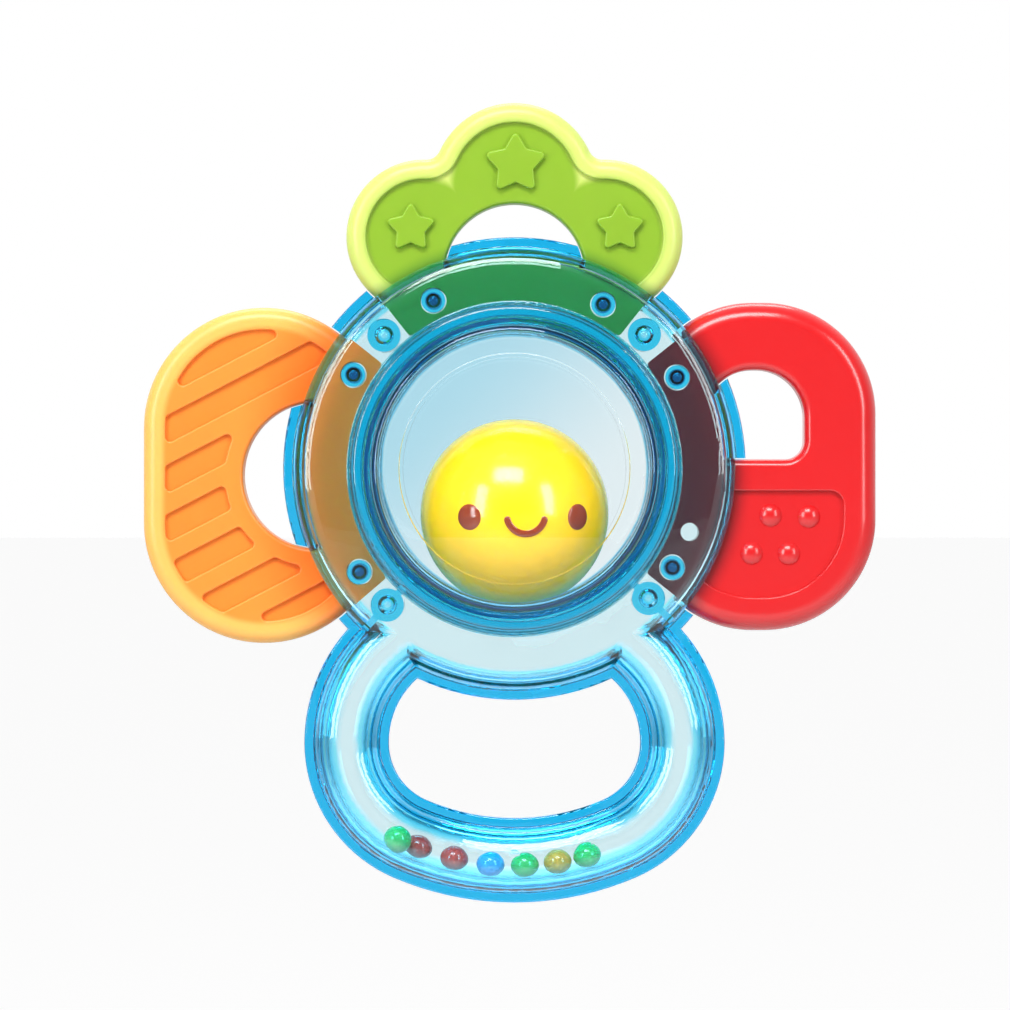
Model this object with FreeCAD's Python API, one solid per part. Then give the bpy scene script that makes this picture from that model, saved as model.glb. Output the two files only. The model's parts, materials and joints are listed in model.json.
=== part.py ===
import FreeCAD, Part
import math
import os

from FreeCAD import Vector

# Hand-held teething rattle: a translucent ring on a hollow grip loop, a smiling ball in a clear
# chamber, three soft teethers clamped in the ring and seven loose beads in the grip.
#
# Millimetres. X to the right, Y to the back, +Z up. The origin is the middle of the grip bar,
# where the hand holds the toy. Plan shapes are drawn in X and Z, and depths are measured along Y
# from the parting plane, y = 0, where the two casing halves meet.

# ---- grip loop, measured on the middle line of its hollow bar --------------------------------
grip_radius = 46.4           # bottom arc of the loop
corner_radius = 18.4         # lower corners
side_radius = 22.4           # upper sides
corner_x = 11.0              # sideways place of the corner arcs' centres
ring_rise = 22.2             # ring centre above the centre of the bottom arc
side_sweep = 60.0            # degrees of side arc, which ends inside the ring

# ---- bar section, shared by the loop and the ring --------------------------------------------
bar_half_width = 5.5         # outside of the side walls
seam_width = 1.9             # seam flange outside the side walls
seam_half_thick = 1.3
half_depth = 7.5             # parting plane to the flat face
wall = 1.8
bar_shoulder = 4.7           # side wall of the loop into its flat face
bar_hollow_corner = 3.1
ring_shoulder = 3.6          # outer wall of the ring into its flat face
ring_hollow_corner = 1.8
edge_radius = 0.4            # small moulded edges

# ---- ring and ball chamber -------------------------------------------------------------------
ring_radius = 38.6           # outside of the ring's outer wall
collar_radius = 28.6         # outside of the collar around the chamber
collar_wall = 1.9
collar_depth = 12.9          # parting plane to the collar's crown
crown_width = 2.4
crown_radius = 1.3           # rounded outer edge of the crown
lip_step = 0.6               # inner part of the lip sits lower than the crown
lip_thick = 1.4
window_rim = 1.5             # the window's flange reaches this far beyond its drum
window_rim_thick = 1.5
window_wall = 1.2
window_shoulder = 1.5        # side of the drum into its flat face
window_disc = 19.8           # radius of the raised flat disc in the middle of the window
window_step = 0.15
chamber_wall = 1.1           # loose ring between the two windows
chamber_foot = 0.9           # its two end flanges reach this much further out
fit_gap = 0.2                # clearance where one piece sits inside another
weld_gap = 0.1               # radial clearance of a pin in its socket

# ---- ball and beads --------------------------------------------------------------------------
ball_share = 0.673           # radius of the ball over that of its chamber
ball_wall = 1.6
ball_top_gap = 0.5           # between the ball and the middle of each window
ball_lip = 1.5               # register lip that centres the two ball halves
roll_gap = 0.2               # clearance under a ball or bead that rests on a wall
bead_radius = 2.5
bead_last = -15.6            # the rightmost bead, in degrees left of the loop's lowest point
bead_steps = (1.1, 1.324, 1.291, 1.208, 1.158, 1.059)      # from bead to bead, in bead diameters
bead_share = 0.75            # the first two lie side by side, this far out over the flat of the channel

# ---- bosses: the rear half's pins stand in the front half's sockets --------------------------
weld_angles = (45.9, 134.4, 227.0, 315.9)
weld_size = (2.9, 1.6)       # radius of the boss and of its pin
post_angles = (-32.1, 29.3, 61.6, 115.8, 149.8, 213.7)
post_size = (2.1, 1.2)       # the thinner bosses that go through the teethers
pin_length = 2.9             # straight part of a pin, before its round end
rib_count = 2                # the lower two weld bosses carry a rib that shuts the bead channel
rib_thick = 1.2
mark_radius = 0.95           # round ejector marks in the front face of the loop
mark_depth = 0.35
mark_angle = 22.4            # on both side arcs, up from level
mark_rise = 1.4              # the lowest one, above the middle line of the bar

# ---- teethers: heights from the ring's centre, and "out" from the ring's outer wall -----------
teether_play = 1.2           # a teether is this much thinner than the ring's hollow, each side
tongue_step = 0.3            # its tongue is thinner again, each side
tongue_spans = {"green": (51.6, 128.4), "orange": (141.6, 220.5), "red": (-38.4, 38.4)}
tongue_corner = 1.2
soft_share = 0.53            # rounded outer edge over half the teether's thickness
gap_share = 0.16             # rounded edge of a finger gap, over the same
relief = 0.9                 # depth of the recesses
relief_edge = 0.35           # rounded edge of a recess or raised shape
lobe_top = (10.9, 14.4)                  # green: out and radius of the middle lobe
lobe_side = (15.9, 1.9, 13.5)            # green: x, out and radius of the side lobes
lobe_notch = 2.6                         # green: radius in the notch between lobes
arch = (-4.6, 12.3)                      # green: out and radius of the finger gap
green_rim = 3.5
stars = ((0.2, 14.6, 6.0), (-18.1, 3.4, 4.8), (18.4, 3.4, 4.8))         # x, out, radius
star_waist = 0.55                        # inner radius of a star over its outer radius
star_height = 1.0
orange_box = (26.2, -15.9, -30.5, 28.1)            # out, in, bottom, top
orange_corner = 21.0
orange_hole = (-4.0, -1.2, 12.8)                   # out, height, radius
orange_rim = 3.9
groove_angle = 27.5
groove_pitch = 7.65
groove_width = 4.3
groove_first = 39.5                      # lower edge of the top groove, from the ring's centre
groove_count = 7
groove_corner = 0.8
groove_end = 3.2                         # plain band kept around the finger gap
red_box = (-16.6, 24.6, -28.3, 29.0)               # in, out, bottom, top
red_corner = 19.5
red_hole = (-5.3, 12.0, 1.6, 17.2)                 # in, out, bottom, top
red_hole_corners = (8.3, 3.2)            # upper and lower right corners
red_share = 0.755            # the red teether is rounder: its outer edge and its gap's edge
red_gap_share = 0.33
panel_top = -3.9
panel_rim = 5.8
panel_corner = 2.4
bump_radius = 2.0
bumps = ((6.1, -8.2), (12.8, -8.4), (2.8, -14.8), (9.3, -14.9))
spare_hole = (-19.9, 1.6)                # red: angle and radius of a plain hole in the tongue

# ---- worked out from the values above --------------------------------------------------------
ring_z = grip_radius + ring_rise
side_z = grip_radius - math.sqrt((grip_radius - corner_radius) ** 2 - corner_x ** 2)
side_x = corner_x + corner_radius - side_radius
corner_start = math.degrees(math.atan2(corner_x, grip_radius - side_z))
cavity_half_width = bar_half_width - wall
cavity_depth = half_depth - wall
cavity_outer = ring_radius - wall
flange_radius = ring_radius + seam_width
collar_bore = collar_radius - collar_wall
lip_face = collar_depth - lip_step
lip_back = lip_face - lip_thick
window_flange = collar_bore - fit_gap
window_radius = window_flange - window_rim
window_bore = window_radius - window_wall
lip_bore = window_radius + fit_gap
chamber_half = lip_back - window_rim_thick
chamber_radius = window_flange - chamber_foot - chamber_wall
ball_radius = ball_share * chamber_radius
ball_drop = chamber_radius - ball_radius - roll_gap
window_depth = ball_radius + ball_top_gap + window_wall + window_step
teether_half_thick = cavity_depth - teether_play
tongue_half_thick = teether_half_thick - tongue_step
soft_edge = soft_share * teether_half_thick
gap_edge = gap_share * teether_half_thick
red_edge = red_share * teether_half_thick
red_gap_edge = red_gap_share * teether_half_thick
boss_circle = (collar_radius + cavity_outer) / 2 - fit_gap
tongue_inner = collar_radius + 2 * fit_gap
tongue_outer = cavity_outer - 2 * fit_gap
bead_path = grip_radius + cavity_half_width - bead_radius - roll_gap
bead_offset = bead_share * (cavity_depth - bar_hollow_corner)
bead_spaces = [2 * bead_radius * step for step in bead_steps]
bead_spaces[0] = math.sqrt(bead_spaces[0] ** 2 - 4 * bead_offset ** 2)
middle = Vector(0, 0, ring_z)


def polar(radius, angle, centre=(0.0, 0.0)):
    """Plan point at an angle in degrees, counted from +X towards +Z."""
    turn = math.radians(angle)
    return (centre[0] + radius * math.cos(turn), centre[1] + radius * math.sin(turn))


def rounded_wire(corners, place):
    """Closed wire through (u, v, radius) corners, each rounded by a tangent arc of that radius."""
    count = len(corners)
    joins = []
    for i, (u, v, radius) in enumerate(corners):
        here = Vector(u, v, 0)
        before = Vector(*corners[i - 1][:2], 0) - here
        after = Vector(*corners[(i + 1) % count][:2], 0) - here
        before.normalize()
        after.normalize()
        half = before.getAngle(after) / 2
        if radius <= 0 or half > math.pi / 2 - 1e-6:
            joins.append((here, None, here))
            continue
        run = radius / math.tan(half)
        inward = (before + after).normalize()
        crest = here + inward * (radius / math.sin(half) - radius)
        joins.append((here + before * run, crest, here + after * run))
    edges = []
    for i, (start, crest, end) in enumerate(joins):
        if crest is not None:
            edges.append(Part.Arc(place(start), place(crest), place(end)).toShape())
        following = joins[(i + 1) % count][0]
        if (following - end).Length > 1e-6:
            edges.append(Part.LineSegment(place(end), place(following)).toShape())
    return Part.Wire(edges)


def spun(corners, side=1, centre=(0.0, 0.0), start=0.0, sweep=360.0):
    """Solid made by turning (radius, depth, corner radius) corners about Y through a plan point."""
    def place(p):
        x, z = polar(p.x, start, centre)
        return Vector(x, side * p.y, z)

    face = Part.Face(rounded_wire(corners, place))
    return face.revolve(Vector(centre[0], 0, centre[1]), Vector(0, -1, 0), sweep)


def prism(corners, low, high):
    """Plan outline of (x, z, radius) corners about the ring's centre, extruded from y low to high."""
    wire = rounded_wire(corners, lambda p: Vector(p.x, low, p.y + ring_z))
    return Part.Face(wire).extrude(Vector(0, high - low, 0))


def disc(radius, low, high, x=0.0, z=0.0):
    """Cylinder along Y at a plan point counted from the ring's centre."""
    return Part.makeCylinder(radius, high - low, Vector(x, low, z + ring_z), Vector(0, 1, 0))


def box_corners(left, right, bottom, top, radii):
    """Corners of a plan rectangle, with radii from the top right round to the top left, clockwise."""
    places = ((right, top), (right, bottom), (left, bottom), (left, top))
    return [(x, z, r) for (x, z), r in zip(places, radii)]


def joined(first, *others):
    return first.multiFuse(list(others)).removeSplitter() if others else first


def save(name, shape):
    """Writes one node as its closed solids."""
    solids = shape.Solids
    whole = solids[0] if len(solids) == 1 else Part.makeCompound(solids)
    if not whole.isValid() or whole.Volume <= 0:
        raise ValueError(name + " is not a valid solid")
    whole.exportStep("parts/" + name + ".step")
    print(f"{name}: {len(solids)} solid(s), {whole.Volume:.0f} mm3")


# ---- casing ----------------------------------------------------------------------------------
def bar_section(radius):
    """Outside of the hollow bar, flange included, around an arc of that middle radius."""
    side, thick = bar_half_width, seam_half_thick
    flange = side + seam_width
    return [
        (radius - flange, 0, 0), (radius + flange, 0, 0), (radius + flange, thick, edge_radius),
        (radius + side, thick, edge_radius), (radius + side, half_depth, bar_shoulder),
        (radius - side, half_depth, bar_shoulder), (radius - side, thick, edge_radius),
        (radius - flange, thick, edge_radius),
    ]


def bar_cavity(radius):
    """Inside of the hollow bar."""
    width = cavity_half_width
    return [
        (radius - width, 0, 0), (radius + width, 0, 0),
        (radius + width, cavity_depth, bar_hollow_corner),
        (radius - width, cavity_depth, bar_hollow_corner),
    ]


def ring_section():
    """Outside of the ring, from the seam flange over the collar's crown to the lip around a window."""
    crown_inner = collar_radius - crown_width
    return [
        (collar_bore, 0, 0), (flange_radius, 0, 0), (flange_radius, seam_half_thick, edge_radius),
        (ring_radius, seam_half_thick, edge_radius), (ring_radius, half_depth, ring_shoulder),
        (collar_radius, half_depth, 2 * edge_radius), (collar_radius, collar_depth, crown_radius),
        (crown_inner, collar_depth, edge_radius), (crown_inner, lip_face, edge_radius / 2),
        (lip_bore, lip_face, edge_radius), (lip_bore, lip_back, edge_radius / 2),
        (collar_bore, lip_back, 0),
    ]


def ring_cavity():
    """Space between the collar and the outer wall."""
    return [
        (collar_radius, 0, 0), (cavity_outer, 0, 0), (cavity_outer, cavity_depth, ring_hollow_corner),
        (collar_radius, cavity_depth, edge_radius),
    ]


def along_loop(section, side):
    """A section turned round the whole grip loop: bottom, two corners and two sides."""
    pieces = [spun(section(grip_radius), side, (0, grip_radius), 270 - corner_start, 2 * corner_start)]
    corner_sweep = 90 - corner_start
    for sign in (1, -1):
        corner = (sign * corner_x, side_z)
        corner_from = 270 + corner_start if sign > 0 else 180
        pieces.append(spun(section(corner_radius), side, corner, corner_from, corner_sweep))
        side_from = 0 if sign > 0 else 180 - side_sweep
        pieces.append(spun(section(side_radius), side, (sign * side_x, side_z), side_from, side_sweep))
    return joined(*pieces)


def bosses():
    """Angle, boss radius, pin radius and whether a rib joins it, for every boss."""
    welds = [(angle, *weld_size, angle in weld_angles[-rib_count:]) for angle in weld_angles]
    return welds + [(angle, *post_size, False) for angle in post_angles]


def mark_places():
    """Plan points of the round marks: one on each side arc and one on the bottom bar."""
    x, z = polar(side_radius, mark_angle, (side_x, side_z))
    return ((-x, z), (x, z), (0, mark_rise))


def rib(angle, side):
    """Radial wall across the ring's cavity, on the line of a boss."""
    height = cavity_depth + wall / 2
    block = Part.makeBox(cavity_outer - collar_radius + wall, height, rib_thick)
    block.translate(Vector(collar_radius - wall / 2, 0 if side > 0 else -height, -rib_thick / 2))
    block.rotate(Vector(0, 0, 0), Vector(0, -1, 0), angle)
    return block.translated(middle)


def casing_half(side, leg_slots):
    """One moulded half. side is -1 for the front, which has the sockets, and 1 for the rear."""
    shell = joined(spun(ring_section(), side).translated(middle), along_loop(bar_section, side))
    hollow = joined(spun(ring_cavity(), side).translated(middle), along_loop(bar_cavity, side))
    shell = shell.cut([hollow] + leg_slots)
    top = side * (cavity_depth + wall / 2)
    additions = []
    sockets = []
    for angle, radius, pin, has_rib in bosses():
        x, z = polar(boss_circle, angle)
        additions.append(disc(radius, min(0, top), max(0, top), x, z))
        if has_rib:
            additions.append(rib(angle, side))
        end = Vector(x, -pin_length, z + ring_z)
        if side > 0:
            additions += [disc(pin, -pin_length, wall, x, z), Part.makeSphere(pin, end)]
        else:
            socket = disc(pin + weld_gap, -pin_length, 0, x, z)
            sockets.append(socket.fuse(Part.makeSphere(pin + weld_gap, end)))
    shell = shell.multiFuse(additions)
    if side > 0:
        return shell
    marks = [disc(mark_radius, -half_depth - 1, mark_depth - half_depth, x, z - ring_z)
             for x, z in mark_places()]
    return shell.cut(sockets + marks)


# ---- ball chamber ----------------------------------------------------------------------------
def window(side):
    """Clear drum with a raised flat face and a flange that the casing's lip holds down."""
    shoulder_top = window_depth - window_step
    inside = shoulder_top - window_wall
    return spun([
        (0, window_depth, 0), (window_disc, window_depth, window_step / 2),
        (window_disc + window_step, shoulder_top, window_step / 2),
        (window_radius, shoulder_top, window_shoulder), (window_radius, lip_back, 0),
        (window_flange, lip_back, window_step), (window_flange, chamber_half, window_step),
        (window_bore, chamber_half, window_step), (window_bore, inside, window_shoulder / 2),
        (0, inside, 0),
    ], side).translated(middle)


def chamber_ring():
    """Loose wall of the chamber, clamped between the two window flanges."""
    web = window_flange - chamber_foot
    foot = chamber_half - chamber_wall
    return spun([
        (chamber_radius, -chamber_half, 0), (window_flange, -chamber_half, 0),
        (window_flange, -foot, edge_radius), (web, -foot, edge_radius),
        (web, foot, edge_radius), (window_flange, foot, edge_radius),
        (window_flange, chamber_half, 0), (chamber_radius, chamber_half, 0),
    ]).translated(middle)


def ball_half(side):
    """Hollow half of the ball. The rear half has the lip that centres the front one."""
    centre = middle - Vector(0, 0, ball_drop)
    sphere = Part.makeSphere(ball_radius).cut(Part.makeSphere(ball_radius - ball_wall))
    size = 2 * ball_radius
    keep = Part.makeBox(size, ball_radius, size)
    keep.translate(Vector(-ball_radius, 0 if side > 0 else -ball_radius, -ball_radius))
    half = sphere.common(keep)
    if side > 0:
        lip_outer = ball_radius - ball_wall - weld_gap
        inner, root = lip_outer - ball_wall / 2, lip_outer + ball_wall / 2
        lip = spun([
            (inner, -ball_lip, 0), (lip_outer - weld_gap, -ball_lip, 0), (lip_outer, 0, 0),
            (root, 0, 0), (root - 2 * weld_gap, ball_lip, 0), (inner, ball_lip, 0),
        ])
        half = half.fuse(lip.common(Part.makeSphere(ball_radius - ball_wall / 2)))
    return half.translated(centre)


def bead_centre(number):
    """Where a bead rests: on the bottom arc of the loop or, past its end, on the left corner arc."""
    angle = bead_last + math.degrees(sum(bead_spaces[number:]) / bead_path)
    x, z = polar(bead_path, 270 - angle, (0, grip_radius))
    if angle > corner_start:
        corner_path = bead_path - grip_radius + corner_radius
        angle = corner_start + (angle - corner_start) * bead_path / corner_path
        x, z = polar(corner_path, 270 - angle, (-corner_x, side_z))
    depth = (-bead_offset, bead_offset)[number] if number < 2 else 0
    return Vector(x, depth, z)


# ---- teethers --------------------------------------------------------------------------------
def box_outline(left, right, bottom, top, corner, thick, grow):
    """Rounded rectangle, grown outwards on every side."""
    radii = [corner + grow] * 4
    return prism(box_corners(left - grow, right + grow, bottom - grow, top + grow, radii), -thick, thick)


def green_outline(thick, grow=0.0):
    """Cloud of three lobes, with its notches rounded."""
    out, radius = lobe_top
    x_side, out_side, radius_side = lobe_side
    z_side = ring_radius + out_side
    sides = [disc(radius_side + grow, -thick, thick, sign * x_side, z_side) for sign in (1, -1)]
    cloud = joined(disc(radius + grow, -thick, thick, 0, ring_radius + out), *sides)
    notches = [e for e in cloud.Edges if is_along_y(e) and e.BoundBox.ZMin > ring_z + z_side]
    return cloud.makeFillet(lobe_notch - grow, notches)


def orange_outline(thick, grow=0.0):
    outer, inner, bottom, top = orange_box
    return box_outline(-ring_radius - outer, -ring_radius - inner, bottom, top, orange_corner, thick, grow)


def red_outline(thick, grow=0.0):
    inner, outer, bottom, top = red_box
    return box_outline(ring_radius + inner, ring_radius + outer, bottom, top, red_corner, thick, grow)


def green_gap(thick, grow=0.0):
    out, radius = arch
    return disc(radius + grow, -thick, thick, 0, ring_radius + out)


def orange_gap(thick, grow=0.0):
    out, z, radius = orange_hole
    return disc(radius + grow, -thick, thick, -ring_radius - out, z)


def red_gap(thick, grow=0.0):
    inner, outer, bottom, top = red_hole
    left, right = ring_radius + inner, ring_radius + outer
    upper, lower = red_hole_corners
    radii = (upper + grow, lower + grow, 0, upper + grow)
    return prism(box_corners(left - grow, right + grow, bottom - grow, top + grow, radii), -thick, thick)


def is_along_y(edge):
    return edge.Curve.TypeId == "Part::GeomLine" and abs(edge.tangentAt(edge.FirstParameter).y) > 0.99


def plan_radius(edge):
    """Distance of an edge's middle from the ring's centre, in plan."""
    point = edge.valueAt((edge.FirstParameter + edge.LastParameter) / 2) - middle
    return math.hypot(point.x, point.z)


def softened(shape, radius, tool=None, levels=(teether_half_thick,)):
    """Rounds the flat edges outside the ring at the given depths, all or only those on a tool."""
    nearest = ring_radius + fit_gap if tool else tongue_outer + fit_gap
    chosen = []
    for edge in shape.Edges:
        is_flat = edge.BoundBox.YLength < 1e-6 and plan_radius(edge) > nearest
        if not is_flat or all(abs(abs(edge.BoundBox.YMin) - level) > 1e-6 for level in levels):
            continue
        if tool is None or (tool.distToShape(edge)[0] < 1e-6 and on_wall(tool, edge)):
            chosen.append(edge)
    return shape.makeFillet(radius, chosen)


def on_wall(tool, edge):
    """True where the whole edge lies on the tool's surface."""
    first, last = edge.FirstParameter, edge.LastParameter
    points = [edge.valueAt(first + (last - first) * share) for share in (0.1, 0.5, 0.9)]
    return all(min(face.distToShape(Part.Vertex(p))[0] for face in tool.Faces) < 1e-4 for p in points)


def on_both_faces(shape):
    """A shape made for the back face together with its mirror image for the front."""
    return [shape, shape.mirror(Vector(0, 0, 0), Vector(0, 1, 0))]


def relief_layer(outline, grow):
    """Plan outline as a slab from the floor of the recesses outwards."""
    high = teether_half_thick + 1
    wide = 4 * flange_radius
    floor = Part.makeBox(wide, high, wide, Vector(-wide / 2, teether_half_thick - relief, ring_z - wide / 2))
    return outline(high, grow).common(floor)


def green_recess():
    """Flat field inside the rim. It runs on to the edge of the finger gap."""
    return [relief_layer(green_outline, -green_rim).cut(disc(ring_radius, 0, half_depth))]


def orange_recess():
    """Slanting grooves, cut off by the rim and by a plain band around the finger gap."""
    field = relief_layer(orange_outline, -orange_rim).cut(orange_gap(half_depth, groove_end))
    long = 4 * flange_radius
    grooves = []
    for number in range(groove_count):
        low = groove_first - number * groove_pitch
        strip = Part.makeBox(long, 2 * half_depth, groove_width, Vector(-long / 2, -half_depth, low))
        strip.rotate(Vector(0, 0, 0), Vector(0, -1, 0), groove_angle)
        for groove in field.common(strip.translated(middle)).Solids:
            floor = min(groove.Faces, key=lambda f: f.CenterOfMass.y)
            if floor.Area < groove_width ** 2:
                continue
            rounded_floor = floor.makeOffset2D(-groove_corner).makeOffset2D(groove_corner)
            tool = rounded_floor.extrude(Vector(0, half_depth, 0)).cut(disc(ring_radius, 0, 2 * half_depth))
            grooves += [part for part in tool.Solids if part.Volume > groove_width ** 2]
    return grooves


def red_recess():
    """Half-moon panel below the finger gap."""
    wide = 4 * flange_radius
    below = Part.makeBox(wide, half_depth, wide, Vector(-wide / 2, 0, ring_z + panel_top - wide))
    panel = relief_layer(red_outline, -panel_rim).common(below)
    corner = [e for e in panel.Edges if is_along_y(e) and e.BoundBox.XMin > ring_radius]
    return [panel.makeFillet(panel_corner, corner).cut(disc(ring_radius, 0, half_depth))]


def star(x, out, radius):
    """Raised five-pointed star with soft points."""
    corners = []
    z = ring_radius + out
    for number in range(10):
        is_tip = number % 2 == 0
        reach = radius if is_tip else radius * star_waist
        corners.append((*polar(reach, 90 + 36 * number, (x, z)), radius / 8 if is_tip else radius / 12))
    floor = teether_half_thick - relief
    solid = prism(corners, floor - relief, floor + star_height)
    top = [e for e in solid.Edges if e.BoundBox.YMin > floor]
    return solid.makeFillet(relief_edge, top)


def bump(out, z):
    """Low dome on the floor of the red panel."""
    x = ring_radius + out
    radius = (bump_radius ** 2 + relief ** 2) / (2 * relief)
    return Part.makeSphere(radius, Vector(x, teether_half_thick - radius, z + ring_z))


def tongue(colour):
    """Arc inside the ring that joins a teether's two legs."""
    start, end = tongue_spans[colour]
    half = tongue_half_thick
    section = [(tongue_inner, -half, 0), (tongue_outer, -half, 0),
               (tongue_outer, half, 0), (tongue_inner, half, 0)]
    arc = spun(section, 1, (0, 0), start, end - start).translated(middle)
    corners = [e for e in arc.Edges if is_along_y(e) and plan_radius(e) < tongue_outer - tongue_corner]
    return arc.makeFillet(tongue_corner, corners)


def teether(colour, outline, gap, recess, raised, edge, hole_edge):
    """Soft body outside the ring, its relief on both faces, and the tongue that holds it."""
    thick = teether_half_thick
    blank = softened(outline(thick).cut(disc(tongue_outer, -thick, thick)), edge)
    if colour == "red":
        blank = blank.cut(gap(thick))
        blank = softened(blank, hole_edge, gap(thick))
    for tool in recess:
        for side_tool in on_both_faces(tool):
            blank = blank.cut(side_tool)
            blank = softened(blank, relief_edge, side_tool)
    if colour != "red":
        levels = (thick, thick - relief)
        blank = softened(blank.cut(gap(thick)), hole_edge, gap(thick), levels)
    additions = [tongue(colour)]
    for shape in raised:
        additions += [s.common(outline(thick + 1)) for s in on_both_faces(shape)]
    body = blank.multiFuse(additions)
    for angle in post_angles:
        x, z = polar(boss_circle, angle)
        body = body.cut(disc(post_size[0] + fit_gap, -half_depth, half_depth, x, z))
    return body


def leg_slot(outline, gap):
    """Way through the ring's outer wall for a teether's two legs."""
    thick = teether_half_thick + fit_gap
    space = disc(flange_radius + seam_width, -thick, thick).cut(disc(tongue_inner, -thick, thick))
    inside_gap = gap(thick, -fit_gap).cut(disc(tongue_outer, -thick, thick))
    return outline(thick, fit_gap).common(space).cut(inside_gap)


def main():
    os.makedirs("parts", exist_ok=True)
    slots = [leg_slot(*pair) for pair in
             ((green_outline, green_gap), (orange_outline, orange_gap), (red_outline, red_gap))]
    for name, side in (("front", -1), ("rear", 1)):
        save("casing_" + name, casing_half(side, slots))
        save("window_" + name, window(side))
        save("ball_" + name, ball_half(side))
    save("chamber_ring", chamber_ring())
    save("teether_green", teether("green", green_outline, green_gap, green_recess(),
                                  [star(*place) for place in stars], soft_edge, gap_edge))
    save("teether_orange", teether("orange", orange_outline, orange_gap, orange_recess(),
                                   [], soft_edge, gap_edge))
    red = teether("red", red_outline, red_gap, red_recess(), [bump(*place) for place in bumps],
                  red_edge, red_gap_edge)
    x, z = polar(boss_circle, spare_hole[0])
    save("teether_red", red.cut(disc(spare_hole[1], -half_depth, half_depth, x, z)))
    for number in range(len(bead_steps) + 1):
        save(f"bead_{number + 1}", Part.makeSphere(bead_radius, bead_centre(number)))


if __name__ == "__main__":
    main()
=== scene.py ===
import json
import math
import bpy
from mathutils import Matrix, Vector


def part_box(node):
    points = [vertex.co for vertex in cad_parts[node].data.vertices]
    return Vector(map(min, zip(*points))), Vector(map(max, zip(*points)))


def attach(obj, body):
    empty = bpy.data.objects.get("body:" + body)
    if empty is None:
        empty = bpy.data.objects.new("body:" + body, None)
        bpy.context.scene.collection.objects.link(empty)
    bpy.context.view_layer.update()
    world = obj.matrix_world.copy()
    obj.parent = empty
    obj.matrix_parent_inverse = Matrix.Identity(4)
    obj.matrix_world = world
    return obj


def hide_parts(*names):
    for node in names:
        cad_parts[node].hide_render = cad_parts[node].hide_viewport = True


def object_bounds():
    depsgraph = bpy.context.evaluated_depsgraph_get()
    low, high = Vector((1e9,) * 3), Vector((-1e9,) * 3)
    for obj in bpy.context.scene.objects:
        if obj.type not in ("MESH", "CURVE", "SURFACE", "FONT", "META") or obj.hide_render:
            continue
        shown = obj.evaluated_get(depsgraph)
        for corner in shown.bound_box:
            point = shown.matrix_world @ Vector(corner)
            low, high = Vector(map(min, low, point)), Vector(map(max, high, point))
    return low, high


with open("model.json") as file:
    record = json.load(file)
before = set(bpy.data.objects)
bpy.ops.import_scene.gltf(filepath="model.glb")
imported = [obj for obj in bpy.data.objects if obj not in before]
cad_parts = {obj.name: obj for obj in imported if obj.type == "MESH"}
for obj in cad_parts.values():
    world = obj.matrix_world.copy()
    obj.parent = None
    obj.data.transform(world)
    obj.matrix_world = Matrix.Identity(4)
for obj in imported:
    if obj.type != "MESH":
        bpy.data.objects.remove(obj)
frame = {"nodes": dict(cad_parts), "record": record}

cadLow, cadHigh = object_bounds()
scene = bpy.context.scene

# where things are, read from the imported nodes
windowLow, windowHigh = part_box("window_front")
ballLow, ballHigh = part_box("ball_rear")
ringCentre = Vector((0, 0, (windowLow.z + windowHigh.z) / 2))
ballCentre = Vector((0, 0, (ballLow.z + ballHigh.z) / 2))
ballRadius = (ballHigh.x - ballLow.x) / 2

# metres, and degrees for the edge angle
copying = {"weld": 0.000004, "edgeAngle": 32, "faceWeight": 80, "samePlane": 0.000002}


def clearSelection():
    if bpy.context.object and bpy.context.object.mode != "OBJECT":
        bpy.ops.object.mode_set(mode="OBJECT")
    bpy.ops.object.select_all(action="DESELECT")


def pick(piece):
    clearSelection()
    piece.select_set(True)
    bpy.context.view_layer.objects.active = piece


def smoothCopy(node, name, body, edgeAngle=copying["edgeAngle"]):
    # a welded copy of a CAD node, with smooth round faces and crisp edges
    mesh = frame["nodes"][node].data.copy()
    piece = bpy.data.objects.new(name, mesh)
    scene.collection.objects.link(piece)
    pick(piece)
    mesh.materials.clear()
    if mesh.has_custom_normals:
        bpy.ops.mesh.customdata_custom_splitnormals_clear()
    bpy.ops.object.mode_set(mode="EDIT")
    bpy.ops.mesh.select_all(action="SELECT")
    bpy.ops.mesh.remove_doubles(threshold=copying["weld"])
    bpy.ops.mesh.dissolve_degenerate(threshold=copying["weld"])
    bpy.ops.object.mode_set(mode="OBJECT")
    bpy.ops.object.shade_smooth_by_angle(angle=math.radians(edgeAngle))
    weighted = piece.modifiers.new("evenNormals", "WEIGHTED_NORMAL")
    weighted.keep_sharp = True
    weighted.weight = copying["faceWeight"]
    bpy.ops.object.modifier_apply(modifier=weighted.name)
    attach(piece, body)
    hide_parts(node)
    return piece


def easeFace(piece, depth, shift):
    # moves one flat mating face by a hair, so that two clear pieces don't share a surface
    for vertex in piece.data.vertices:
        if abs(vertex.co.y - depth) < copying["samePlane"]:
            vertex.co.y += shift


def newMaterial(name):
    material = bpy.data.materials.new(name)
    material.use_nodes = True
    nodes = material.node_tree.nodes
    return material, nodes, material.node_tree.links, nodes["Principled BSDF"]


def setSockets(shader, values):
    for name, value in values.items():
        shader.inputs[name].default_value = value


def feed(links, socket, value):
    # a link, a colour or a number goes into the socket
    if isinstance(value, bpy.types.NodeSocket):
        links.new(value, socket)
    elif isinstance(value, tuple):
        socket.default_value = (*value, 1)
    else:
        socket.default_value = value


def mathNode(nodes, links, operation, *values):
    node = nodes.new("ShaderNodeMath")
    node.operation = operation
    for socket, value in zip(node.inputs, values):
        feed(links, socket, value)
    return node.outputs[0]


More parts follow.
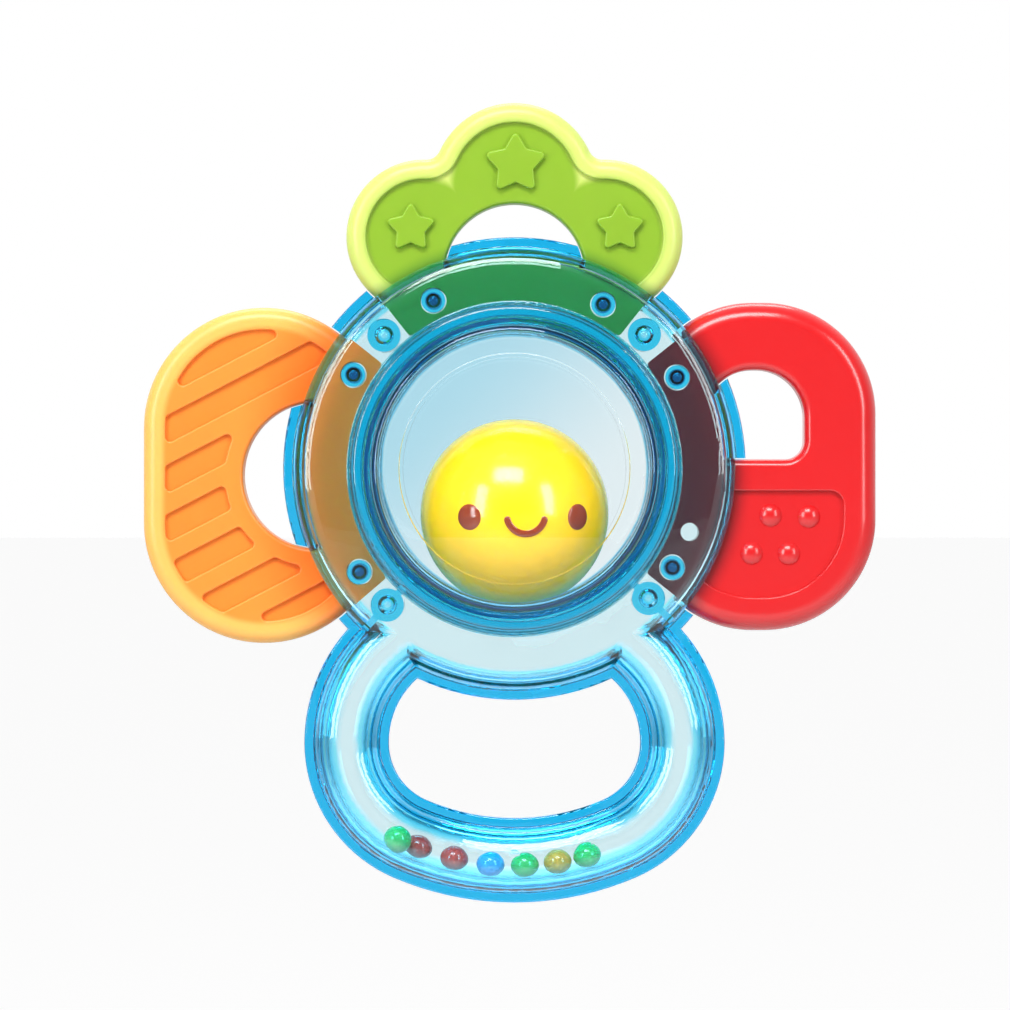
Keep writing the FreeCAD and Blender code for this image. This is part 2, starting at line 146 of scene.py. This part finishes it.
def mapRange(nodes, links, value, low, high, least=0.0):
    # eases from least to 1 as the value goes from low to high
    node = nodes.new("ShaderNodeMapRange")
    node.interpolation_type = "SMOOTHSTEP"
    node.inputs["From Min"].default_value = low
    node.inputs["From Max"].default_value = high
    node.inputs["To Min"].default_value = least
    links.new(value, node.inputs["Value"])
    return node.outputs["Result"]


def mixColour(nodes, links, factor, first, second):
    node = nodes.new("ShaderNodeMix")
    node.data_type = "RGBA"
    links.new(factor, node.inputs["Factor"])
    feed(links, node.inputs[6], first)
    feed(links, node.inputs[7], second)
    return node.outputs[2]


def mixSurface(nodes, links, factor, first, second):
    # the surface is the first shader, and the second where the factor is 1
    either = nodes.new("ShaderNodeMixShader")
    for socket, value in zip(either.inputs, (factor, first, second)):
        links.new(value, socket)
    links.new(either.outputs[0], nodes["Material Output"].inputs["Surface"])


def noise(nodes, links, point, scale, detail):
    node = nodes.new("ShaderNodeTexNoise")
    feed(links, node.inputs["Scale"], scale)
    node.inputs["Detail"].default_value = detail
    links.new(point, node.inputs["Vector"])
    return node.outputs["Fac"]


def objectPoint(nodes):
    return nodes.new("ShaderNodeTexCoord").outputs["Object"]


def splitAxes(nodes, links, point):
    axes = nodes.new("ShaderNodeSeparateXYZ")
    links.new(point, axes.inputs[0])
    return axes.outputs


def planDistance(nodes, links, point, x, z):
    # distance from a point in the X-Z plane, in metres
    flat = nodes.new("ShaderNodeVectorMath")
    flat.operation = "MULTIPLY"
    flat.inputs[1].default_value = (1, 0, 1)
    links.new(point, flat.inputs[0])
    away = nodes.new("ShaderNodeVectorMath")
    away.operation = "DISTANCE"
    away.inputs[1].default_value = (x, 0, z)
    links.new(flat.outputs[0], away.inputs[0])
    return away.outputs["Value"]


def ringReach(nodes, links, point, inner, outer):
    # eases from 0 to 1 between two distances from the ring's centre
    reach = planDistance(nodes, links, point, 0, ringCentre.z)
    return mapRange(nodes, links, reach, inner, outer)


# faint flow mottling of the colour, a little handling wear, and fine grain
moulded = {
    "cloudScale": 85, "cloudDetail": 3, "rubScale": 240, "rubDetail": 5, "grainDetail": 2,
    "grainHeight": 0.0001, "inputs": ("Mottle", "Roughness", "Wear", "Grain"),
}


def makeMouldedGroup():
    group = bpy.data.node_groups.new("mouldedSurface", "ShaderNodeTree")
    face = group.interface
    face.new_socket("Point", in_out="INPUT", socket_type="NodeSocketVector")
    face.new_socket("Colour", in_out="INPUT", socket_type="NodeSocketColor")
    for name in moulded["inputs"]:
        face.new_socket(name, in_out="INPUT", socket_type="NodeSocketFloat")
    face.new_socket("Colour", in_out="OUTPUT", socket_type="NodeSocketColor")
    face.new_socket("Roughness", in_out="OUTPUT", socket_type="NodeSocketFloat")
    face.new_socket("Height", in_out="OUTPUT", socket_type="NodeSocketFloat")
    nodes, links = group.nodes, group.links
    given = nodes.new("NodeGroupInput").outputs
    made = nodes.new("NodeGroupOutput").inputs
    point = given["Point"]
    cloud = noise(nodes, links, point, moulded["cloudScale"], moulded["cloudDetail"])
    shade = mathNode(nodes, links, "SUBTRACT", cloud, 0.5)
    shade = mathNode(nodes, links, "MULTIPLY", shade, given["Mottle"])
    shade = mathNode(nodes, links, "ADD", shade, 1.0)
    tinted = nodes.new("ShaderNodeVectorMath")
    tinted.operation = "SCALE"
    links.new(given["Colour"], tinted.inputs[0])
    links.new(shade, tinted.inputs["Scale"])
    links.new(tinted.outputs[0], made["Colour"])
    rub = noise(nodes, links, point, moulded["rubScale"], moulded["rubDetail"])
    rubbed = mathNode(nodes, links, "MULTIPLY", rub, given["Wear"])
    links.new(mathNode(nodes, links, "ADD", given["Roughness"], rubbed), made["Roughness"])
    grain = noise(nodes, links, point, given["Grain"], moulded["grainDetail"])
    links.new(grain, made["Height"])
    return group


mouldedGroup = makeMouldedGroup()


def addMouldedFinish(nodes, links, shader, point, colour, finish):
    surface = nodes.new("ShaderNodeGroup")
    surface.node_tree = mouldedGroup
    links.new(point, surface.inputs["Point"])
    feed(links, surface.inputs["Colour"], colour)
    for name in moulded["inputs"]:
        surface.inputs[name].default_value = finish[name]
    links.new(surface.outputs["Colour"], shader.inputs["Base Color"])
    links.new(surface.outputs["Roughness"], shader.inputs["Roughness"])
    relief = nodes.new("ShaderNodeBump")
    relief.inputs["Strength"].default_value = finish["bump"]
    relief.inputs["Distance"].default_value = moulded["grainHeight"]
    links.new(surface.outputs["Height"], relief.inputs["Height"])
    links.new(relief.outputs["Normal"], shader.inputs["Normal"])
    setSockets(shader, finish["shader"])


# deep colours lie near the seam, on the collar and where a wall turns away, for the longer path
# through the plastic. The near-white colour on faces that look at the camera is partly the clear
# plastic and partly a painted reflection of the broad lamps, and the colour towards the upper left
# is a painted shade
clearPlastics = {
    "bluePlastic": {
        "shader": {"Transmission Weight": 1.0, "IOR": 1.46, "Specular IOR Level": 0.85,
                   "Coat Weight": 0.3, "Coat Roughness": 0.15},
        "absorb": (0.14, 0.83, 0.935, 1), "density": 70.0, "lamp": (0.72, 0.92, 0.98, 1),
        "flat": (0.985, 1.0, 1.0), "paintedShade": (0.94, 0.99, 1.0), "edge": (0.090, 0.730, 0.970),
        "flatDepth": (0.0020, 0.0066), "turned": (0.01, 0.26),
        "deep": (0.040, 0.780, 0.930), "deepReach": (0.0285, 0.0290), "rub": 0.02,
    },
    "windowFront": {
        "shader": {"Transmission Weight": 1.0, "IOR": 1.45, "Specular IOR Level": 0.6,
                   "Coat Weight": 0.0, "Coat Roughness": 0.15},
        "absorb": (0.25, 0.75, 0.90, 1), "density": 50.0, "lamp": (0.96, 0.98, 1.0, 1),
        "flat": (0.985, 0.997, 1.0), "paintedShade": (0.95, 0.99, 1.0), "edge": (0.30, 0.74, 0.95),
        "flatDepth": (0.0040, 0.0120), "turned": (0.35, 0.95),
        "deep": (0.120, 0.520, 0.760), "deepReach": (0.0240, 0.0234), "rub": 0.01,
    },
}
clearPlastics["windowRear"] = {
    **clearPlastics["windowFront"], "density": 60.0, "lamp": (0.90, 0.97, 1.0, 1),
    "flat": (0.95, 0.99, 1.0), "paintedShade": (0.54, 0.82, 0.93),
}
clearShare = {"slant": (-0.022, 0.030), "rubScale": 160, "rubDetail": 4}


def clearPlastic(name):
    look = clearPlastics[name]
    material, nodes, links, shader = newMaterial(name)
    setSockets(shader, look["shader"])
    point = objectPoint(nodes)
    axes = splitAxes(nodes, links, point)
    # painted reflection: faces that look at the camera, away from the seam, turn near white,
    # partly as clear plastic and partly as a reflection of the broad lamps
    depth = mathNode(nodes, links, "ABSOLUTE", axes["Y"])
    flat = mapRange(nodes, links, depth, *look["flatDepth"])
    weight = nodes.new("ShaderNodeLayerWeight")
    turned = mapRange(nodes, links, weight.outputs["Facing"], *look["turned"])
    facing = mathNode(nodes, links, "SUBTRACT", 1.0, turned)
    paleAndPaintedReflection = mathNode(nodes, links, "MULTIPLY", flat, facing)
    # painted shade: the tint grows darker and bluer towards the upper left and paler towards the
    # lower right
    slant = mathNode(nodes, links, "SUBTRACT", axes["Z"], axes["X"])
    low, high = (ringCentre.z + offset for offset in clearShare["slant"])
    shadeTowardsUpperLeft = mapRange(nodes, links, slant, low, high)
    face = mixColour(nodes, links, shadeTowardsUpperLeft, look["flat"], look["paintedShade"])
    tint = mixColour(nodes, links, paleAndPaintedReflection, look["edge"], face)
    outside = ringReach(nodes, links, point, *look["deepReach"])
    tint = mixColour(nodes, links, outside, look["deep"], tint)
    links.new(tint, shader.inputs["Base Color"])
    rub = noise(nodes, links, point, clearShare["rubScale"], clearShare["rubDetail"])
    handled = mathNode(nodes, links, "MULTIPLY", rub, look["rub"])
    links.new(handled, shader.inputs["Roughness"])
    volume = nodes.new("ShaderNodeVolumeAbsorption")
    setSockets(volume, {"Color": look["absorb"], "Density": look["density"]})
    links.new(volume.outputs[0], nodes["Material Output"].inputs["Volume"])
    # lamps reach the pieces inside through a plain tint
    lamp = nodes.new("ShaderNodeBsdfTransparent")
    lamp.inputs["Color"].default_value = look["lamp"]
    shadow = nodes.new("ShaderNodeLightPath").outputs["Is Shadow Ray"]
    mixSurface(nodes, links, shadow, shader.outputs[0], lamp.outputs[0])
    return material


# the colour is a painted shade: dark navy spots over the pins inside the posts
posts = {
    "angles": (-32.1, 29.3, 61.6, 115.8, 149.8, 213.7), "circle": 0.0325, "pin": (0.0012, 0.0016),
    "colour": (0.015, 0.300, 0.520),
}


def addPaintedPostShade(material):
    # painted shade: dark navy spots over the thin pins inside the posts
    nodes, links = material.node_tree.nodes, material.node_tree.links
    shader = nodes["Principled BSDF"]
    tint = shader.inputs["Base Color"].links[0].from_socket
    point = objectPoint(nodes)
    nearest = None
    for angle in posts["angles"]:
        x = posts["circle"] * math.cos(math.radians(angle))
        z = posts["circle"] * math.sin(math.radians(angle))
        away = planDistance(nodes, links, point, x, ringCentre.z + z)
        nearest = away if nearest is None else mathNode(nodes, links, "MINIMUM", nearest, away)
    outside = mapRange(nodes, links, nearest, *posts["pin"])
    links.new(mixColour(nodes, links, outside, posts["colour"], tint), shader.inputs["Base Color"])


print("casing, windows and chamber")
casing = {"seamEase": 0.00002, "windowFlange": 0.0015}
bluePlastic = clearPlastic("bluePlastic")
addPaintedPostShade(bluePlastic)
windowPlastics = {"front": clearPlastic("windowFront"), "rear": clearPlastic("windowRear")}
for side, end in (("front", -1), ("rear", 1)):
    shell = smoothCopy("casing_" + side, "casing_" + side + "_clear", "frame")
    easeFace(shell, 0.0, end * casing["seamEase"])
    shell.data.materials.append(bluePlastic)
    cover = smoothCopy("window_" + side, "window_" + side + "_clear", "frame")
    low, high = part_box("window_" + side)
    seat = low.y if end > 0 else high.y
    easeFace(cover, seat, end * casing["seamEase"])
    easeFace(cover, seat + end * casing["windowFlange"], -end * casing["seamEase"])
    cover.data.materials.append(windowPlastics[side])
chamber = smoothCopy("chamber_ring", "chamber_ring_clear", "frame")
chamber.data.materials.append(bluePlastic)

# a lobe is the X, the height over the ring's centre, and the radius
# the lighter rim is painted light, as of light glowing through the thin rounded rim, and the deep
# colour is a painted shade, darker where the tongue lies inside the casing
green = {
    "field": (0.240, 0.420, 0.020), "rim": (0.580, 0.680, 0.160), "deep": (0.002, 0.140, 0.016),
    "lobes": ((0.0, 0.0495, 0.0144), (-0.0159, 0.0405, 0.0135), (0.0159, 0.0405, 0.0135)),
    "rimWidth": 0.0039, "rimFade": (0.62, 1.08), "deepReach": (0.0365, 0.0410),
    "Mottle": 0.10, "Roughness": 0.30, "Wear": 0.10, "Grain": 1400, "bump": 0.10,
    "shader": {"Subsurface Weight": 0.35, "Subsurface Radius": (0.6, 1.0, 0.2),
               "Subsurface Scale": 0.0025},
}


def greenMaterial():
    material, nodes, links, shader = newMaterial("greenSilicone")
    point = objectPoint(nodes)
    inside = None
    for x, z, radius in green["lobes"]:
        away = planDistance(nodes, links, point, x, ringCentre.z + z)
        depth = mathNode(nodes, links, "SUBTRACT", radius, away)
        inside = depth if inside is None else mathNode(nodes, links, "MAXIMUM", inside, depth)
    # painted light: the lighter rim along the lobes
    low, high = (green["rimWidth"] * share for share in green["rimFade"])
    fade = mapRange(nodes, links, inside, low, high)
    colour = mixColour(nodes, links, fade, green["rim"], green["field"])
    # painted shade: darker green where the tongue lies inside the casing
    outside = ringReach(nodes, links, point, *green["deepReach"])
    colour = mixColour(nodes, links, outside, green["deep"], colour)
    addMouldedFinish(nodes, links, shader, point, colour, green)
    return material


# the outline is left, right, and bottom and top over the ring's centre
# the pale rim is painted light catching the rounded rim, the darker grooves are a painted shade in
# the recesses, and the inner colour is a painted shade, darker and redder towards and under the
# casing
orange = {
    "field": (0.880, 0.275, 0.035), "rim": (0.920, 0.480, 0.110), "groove": (0.860, 0.245, 0.025),
    "inner": (0.760, 0.120, 0.002), "outline": (-0.0648, -0.0227, -0.0305, 0.0281),
    "corner": 0.021, "rimWidth": 0.0040, "rimFade": (0.70, 1.05), "innerShadeReach": (0.0360, 0.0500),
    "grooveFloor": 0.0038, "floorFade": (-0.0001, 0.0004),
    "Mottle": 0.10, "Roughness": 0.30, "Wear": 0.10, "Grain": 1400, "bump": 0.10,
    "shader": {"Subsurface Weight": 0.35, "Subsurface Radius": (1.0, 0.45, 0.15),
               "Subsurface Scale": 0.0025},
}


def orangeMaterial():
    material, nodes, links, shader = newMaterial("orangeSilicone")
    point = objectPoint(nodes)
    axes = splitAxes(nodes, links, point)
    left, right, bottom, top = orange["outline"]
    bottom, top = bottom + ringCentre.z, top + ringCentre.z
    corner = orange["corner"]
    # depth inside the outline, a rectangle with round corners
    squares = []
    for socket, low, high in ((axes["X"], left, right), (axes["Z"], bottom, top)):
        offset = mathNode(nodes, links, "SUBTRACT", socket, (low + high) / 2)
        offset = mathNode(nodes, links, "ABSOLUTE", offset)
        over = mathNode(nodes, links, "SUBTRACT", offset, (high - low) / 2 - corner)
        outward = mathNode(nodes, links, "MAXIMUM", over, 0.0)
        squares.append(mathNode(nodes, links, "POWER", outward, 2.0))
    length = mathNode(nodes, links, "SQRT", mathNode(nodes, links, "ADD", *squares))
    inside = mathNode(nodes, links, "SUBTRACT", corner, length)
    # painted light: the pale rim along the outline
    low, high = (orange["rimWidth"] * share for share in orange["rimFade"])
    fade = mapRange(nodes, links, inside, low, high)
    # painted shade: darker groove floors
    depth = mathNode(nodes, links, "ABSOLUTE", axes["Y"])
    low, high = (orange["grooveFloor"] + step for step in orange["floorFade"])
    raised = mapRange(nodes, links, depth, low, high)
    field = mixColour(nodes, links, raised, orange["groove"], orange["field"])
    colour = mixColour(nodes, links, fade, orange["rim"], field)
    # painted shade: darker and redder towards and under the casing
    outside = ringReach(nodes, links, point, *orange["innerShadeReach"])
    colour = mixColour(nodes, links, outside, orange["inner"], colour)
    addMouldedFinish(nodes, links, shader, point, colour, orange)
    return material


# the darker colour is a painted shade, dark red where the tongue lies inside the casing
red = {
    "colour": (0.640, 0.010, 0.013), "shadeInside": (0.110, 0.002, 0.006),
    "shadeInsideReach": (0.0365, 0.0420),
    "Mottle": 0.08, "Roughness": 0.20, "Wear": 0.08, "Grain": 1200, "bump": 0.06,
    "shader": {"Subsurface Weight": 0.20, "Subsurface Radius": (1.0, 0.15, 0.12),
               "Subsurface Scale": 0.0020, "Coat Weight": 0.25, "Coat Roughness": 0.12},
}


def redMaterial():
    material, nodes, links, shader = newMaterial("redElastomer")
    point = objectPoint(nodes)
    # painted shade: dark red where the tongue lies inside the casing
    outside = ringReach(nodes, links, point, *red["shadeInsideReach"])
    colour = mixColour(nodes, links, outside, red["shadeInside"], red["colour"])
    addMouldedFinish(nodes, links, shader, point, colour, red)
    return material


print("teethers")
teetherEdgeAngle = 40
for colourName, makeMaterial, slotName in (("green", greenMaterial, "green_soft"),
                                           ("orange", orangeMaterial, "orange_soft"),
                                           ("red", redMaterial, "red_gloss")):
    node = "teether_" + colourName
    teether = smoothCopy(node, node + "_soft", "frame", teetherEdgeAngle)
    teether.data.materials.append(makeMaterial())

glossy = {
    "Mottle": 0.05, "Wear": 0.06, "Grain": 1000, "bump": 0.03,
    "shader": {"Subsurface Weight": 0.10, "Subsurface Scale": 0.0015, "Coat Roughness": 0.04},
}


def glossyMaterial(name, colour, roughness, coat):
    material, nodes, links, shader = newMaterial(name)
    finish = {**glossy, "Roughness": roughness}
    addMouldedFinish(nodes, links, shader, objectPoint(nodes), colour, finish)
    shader.inputs["Coat Weight"].default_value = coat
    return material


print("ball")
ball = {"colour": (0.930, 0.500, 0.001), "roughness": 0.16, "coat": 0.3, "seamEase": 0.00001}
ballYellow = glossyMaterial("ballYellow", ball["colour"], ball["roughness"], ball["coat"])
for side, end in (("front", -1), ("rear", 1)):
    half = smoothCopy("ball_" + side, "ball_" + side + "_gloss", "ball")
    easeFace(half, 0.0, end * ball["seamEase"])
    half.data.materials.append(ballYellow)

# angles in degrees: a turn is to the right seen from the front, and a rise is upwards
ink = {
    "colour": (0.240, 0.028, 0.006), "roughness": 0.08, "coat": 0.6, "edgeAngle": 50,
    "eyeTurns": {"face_eye_left": -28.5, "face_eye_right": 41.9}, "eyeRise": -2.0,
    "eyeRadius": 0.0023, "eyeFlatness": 0.24, "eyeSink": 0.0001,
    "mouthTurn": 7.0, "mouthRise": -0.4, "mouthRadius": 0.0033, "mouthStroke": 0.00062,
    "mouthFlatness": 0.3, "mouthProud": 0.00002, "mouthCut": 0.0009,
}
inkMaterial = glossyMaterial("faceBrown", ink["colour"], ink["roughness"], ink["coat"])


def faceDirection(turn, rise):
    # unit vector from the ball's centre
    turn, rise = math.radians(turn), math.radians(rise)
    across = math.cos(rise)
    return Vector((math.sin(turn) * across, -math.cos(turn) * across, math.sin(rise)))


def finishInk(piece, name, direction, flatness):
    piece.name = name
    piece.rotation_euler = direction.to_track_quat("Z", "Y").to_euler()
    piece.scale = (1, 1, flatness)
    pick(piece)
    bpy.ops.object.transform_apply(location=True, rotation=True, scale=True)
    bpy.ops.object.shade_smooth_by_angle(angle=math.radians(ink["edgeAngle"]))
    piece.data.materials.append(inkMaterial)
    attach(piece, "ball")


def addEye(name, turn):
    # a shallow lens that stands just proud of the ball
    direction = faceDirection(turn, ink["eyeRise"])
    seat = math.sqrt(ballRadius ** 2 - ink["eyeRadius"] ** 2) - ink["eyeSink"]
    clearSelection()
    bpy.ops.mesh.primitive_uv_sphere_add(segments=48, ring_count=24, radius=ink["eyeRadius"],
                                         location=ballCentre + direction * seat)
    finishInk(bpy.context.object, name, direction, ink["eyeFlatness"])


def addMouth():
    # the lower half of a flattened ring, with round ends
    direction = faceDirection(ink["mouthTurn"], ink["mouthRise"])
    radius, stroke, cut = ink["mouthRadius"], ink["mouthStroke"], ink["mouthCut"]
    clearSelection()
    bpy.ops.mesh.primitive_torus_add(major_segments=72, minor_segments=20,
                                     major_radius=radius, minor_radius=stroke)
    mouth = bpy.context.object
    bpy.ops.object.mode_set(mode="EDIT")
    bpy.ops.mesh.select_all(action="SELECT")
    bpy.ops.mesh.bisect(plane_co=(0, -cut, 0), plane_no=(0, 1, 0), clear_outer=True,
                        use_fill=True)
    bpy.ops.object.mode_set(mode="OBJECT")
    endX = math.sqrt(radius ** 2 - cut ** 2)
    for end in (-1, 1):
        bpy.ops.mesh.primitive_uv_sphere_add(segments=24, ring_count=12, radius=stroke,
                                             location=(end * endX, -cut, 0))
        tip = bpy.context.object
        pick(mouth)
        tip.select_set(True)
        bpy.ops.object.join()
    seat = math.sqrt(ballRadius ** 2 - radius ** 2) + ink["mouthProud"]
    mouth.location = ballCentre + direction * seat
    finishInk(mouth, "face_mouth", direction, ink["mouthFlatness"])


for name, turn in ink["eyeTurns"].items():
    addEye(name, turn)
addMouth()

print("beads")
beads = {
    "bead_green": (0.010, 0.360, 0.085), "bead_red": (0.480, 0.035, 0.030),
    "bead_blue": (0.004, 0.260, 0.560), "bead_orange": (0.560, 0.250, 0.030),
    "roughness": 0.10, "coat": 0.6, "edgeAngle": 60,
}
slotOfNode = {part["node"]: part["material_slot"] for part in frame["record"]["subparts"]}
beadMaterials = {}
for node in sorted(n for n in frame["nodes"] if n.startswith("bead_")):
    slotName = slotOfNode[node]
    if slotName not in beadMaterials:
        beadMaterials[slotName] = glossyMaterial(slotName, beads[slotName], beads["roughness"],
                                                 beads["coat"])
    bead = smoothCopy(node, node + "_gloss", node, beads["edgeAngle"])
    bead.data.materials.append(beadMaterials[slotName])

print("studio")
studio = {
    "floorDrop": 0.30, "floorSize": 60.0, "floorPale": (0.97, 0.97, 0.97),
    "floorDim": (0.50, 0.50, 0.50), "floorRoughness": 0.9, "floorGlow": 0.36,
    "world": 1.0, "roomSide": 0.18, "sweep": (-0.6, 0.5),
    "distance": 1.0, "viewWidth": 0.17697, "sensor": 36, "shift": (-0.0094, -0.0361),
    "farthest": 100, "bounces": 24,
}


def addFloor():
    clearSelection()
    place = (0, 0, cadLow.z - studio["floorDrop"])
    bpy.ops.mesh.primitive_plane_add(size=studio["floorSize"], location=place)
    floor = bpy.context.object
    floor.name = "floor"
    material, nodes, links, shader = newMaterial("paleFloor")
    setSockets(shader, {
        "Base Color": (*studio["floorPale"], 1), "Roughness": studio["floorRoughness"],
        "Specular IOR Level": 0.0, "Emission Color": (1, 1, 1, 1),
        "Emission Strength": studio["floorGlow"],
    })
    # it doesn't glow in reflections, and little of its light comes back up on to the toy
    path = nodes.new("ShaderNodeLightPath").outputs
    lit = mathNode(nodes, links, "GREATER_THAN", path["Diffuse Depth"], 0.5)
    dim = nodes.new("ShaderNodeBsdfDiffuse")
    tone = mixColour(nodes, links, lit, studio["floorPale"], studio["floorDim"])
    links.new(tone, dim.inputs["Color"])
    bounces = mathNode(nodes, links, "ADD", path["Diffuse Depth"], path["Glossy Depth"])
    bounced = mathNode(nodes, links, "GREATER_THAN", bounces, 0.5)
    mixSurface(nodes, links, bounced, shader.outputs[0], dim.outputs[0])
    floor.data.materials.append(material)


# place and size in metres, power in watts
lights = {
    "keyTop": {"place": (-0.12, -0.70, 0.85), "size": (0.60, 0.34), "power": 9.5},
    "sideLeft": {"place": (-0.66, -0.70, 0.30), "size": (0.24, 0.62), "power": 5.2},
    "sideRight": {"place": (0.66, -0.70, 0.34), "size": (0.20, 0.62), "power": 4.0},
    "topBack": {"place": (0.0, 0.50, 0.95), "size": (0.60, 0.30), "power": 3.0},
}


def addLight(name):
    lamp = lights[name]
    clearSelection()
    bpy.ops.object.light_add(type="AREA", location=lamp["place"])
    light = bpy.context.object
    light.name = name
    light.data.shape = "RECTANGLE"
    light.data.size, light.data.size_y = lamp["size"]
    light.data.energy = lamp["power"]
    towards = ringCentre - Vector(lamp["place"])
    light.rotation_euler = towards.to_track_quat("-Z", "Y").to_euler()


def addWorld():
    # a white sweep behind the toy that dims a little towards the camera's side of the room
    world = bpy.data.worlds.new("studioWhite")
    scene.world = world
    world.use_nodes = True
    nodes, links = world.node_tree.nodes, world.node_tree.links
    background = nodes["Background"]
    background.inputs["Strength"].default_value = studio["world"]
    direction = nodes.new("ShaderNodeTexCoord").outputs["Generated"]
    back = splitAxes(nodes, links, direction)["Y"]
    sweep = mapRange(nodes, links, back, *studio["sweep"], studio["roomSide"])
    straight = nodes.new("ShaderNodeLightPath").outputs["Is Camera Ray"]
    shown = mathNode(nodes, links, "MAXIMUM", sweep, straight)
    tone = nodes.new("ShaderNodeCombineColor")
    for channel in tone.inputs:
        links.new(shown, channel)
    links.new(tone.outputs["Color"], background.inputs["Color"])


addFloor()
for name in lights:
    addLight(name)
addWorld()

clearSelection()
bpy.ops.object.camera_add(location=(0, -studio["distance"], ringCentre.z),
                          rotation=(math.radians(90), 0, 0))
camera = bpy.context.object
camera.data.sensor_width = studio["sensor"]
camera.data.lens = studio["sensor"] * studio["distance"] / studio["viewWidth"]
camera.data.shift_x, camera.data.shift_y = studio["shift"]
camera.data.clip_end = studio["farthest"]
scene.camera = camera

scene.view_settings.view_transform = "Standard"
scene.cycles.max_bounces = studio["bounces"]
scene.cycles.transmission_bounces = studio["bounces"]
scene.cycles.transparent_max_bounces = studio["bounces"]
scene.cycles.use_denoising = True
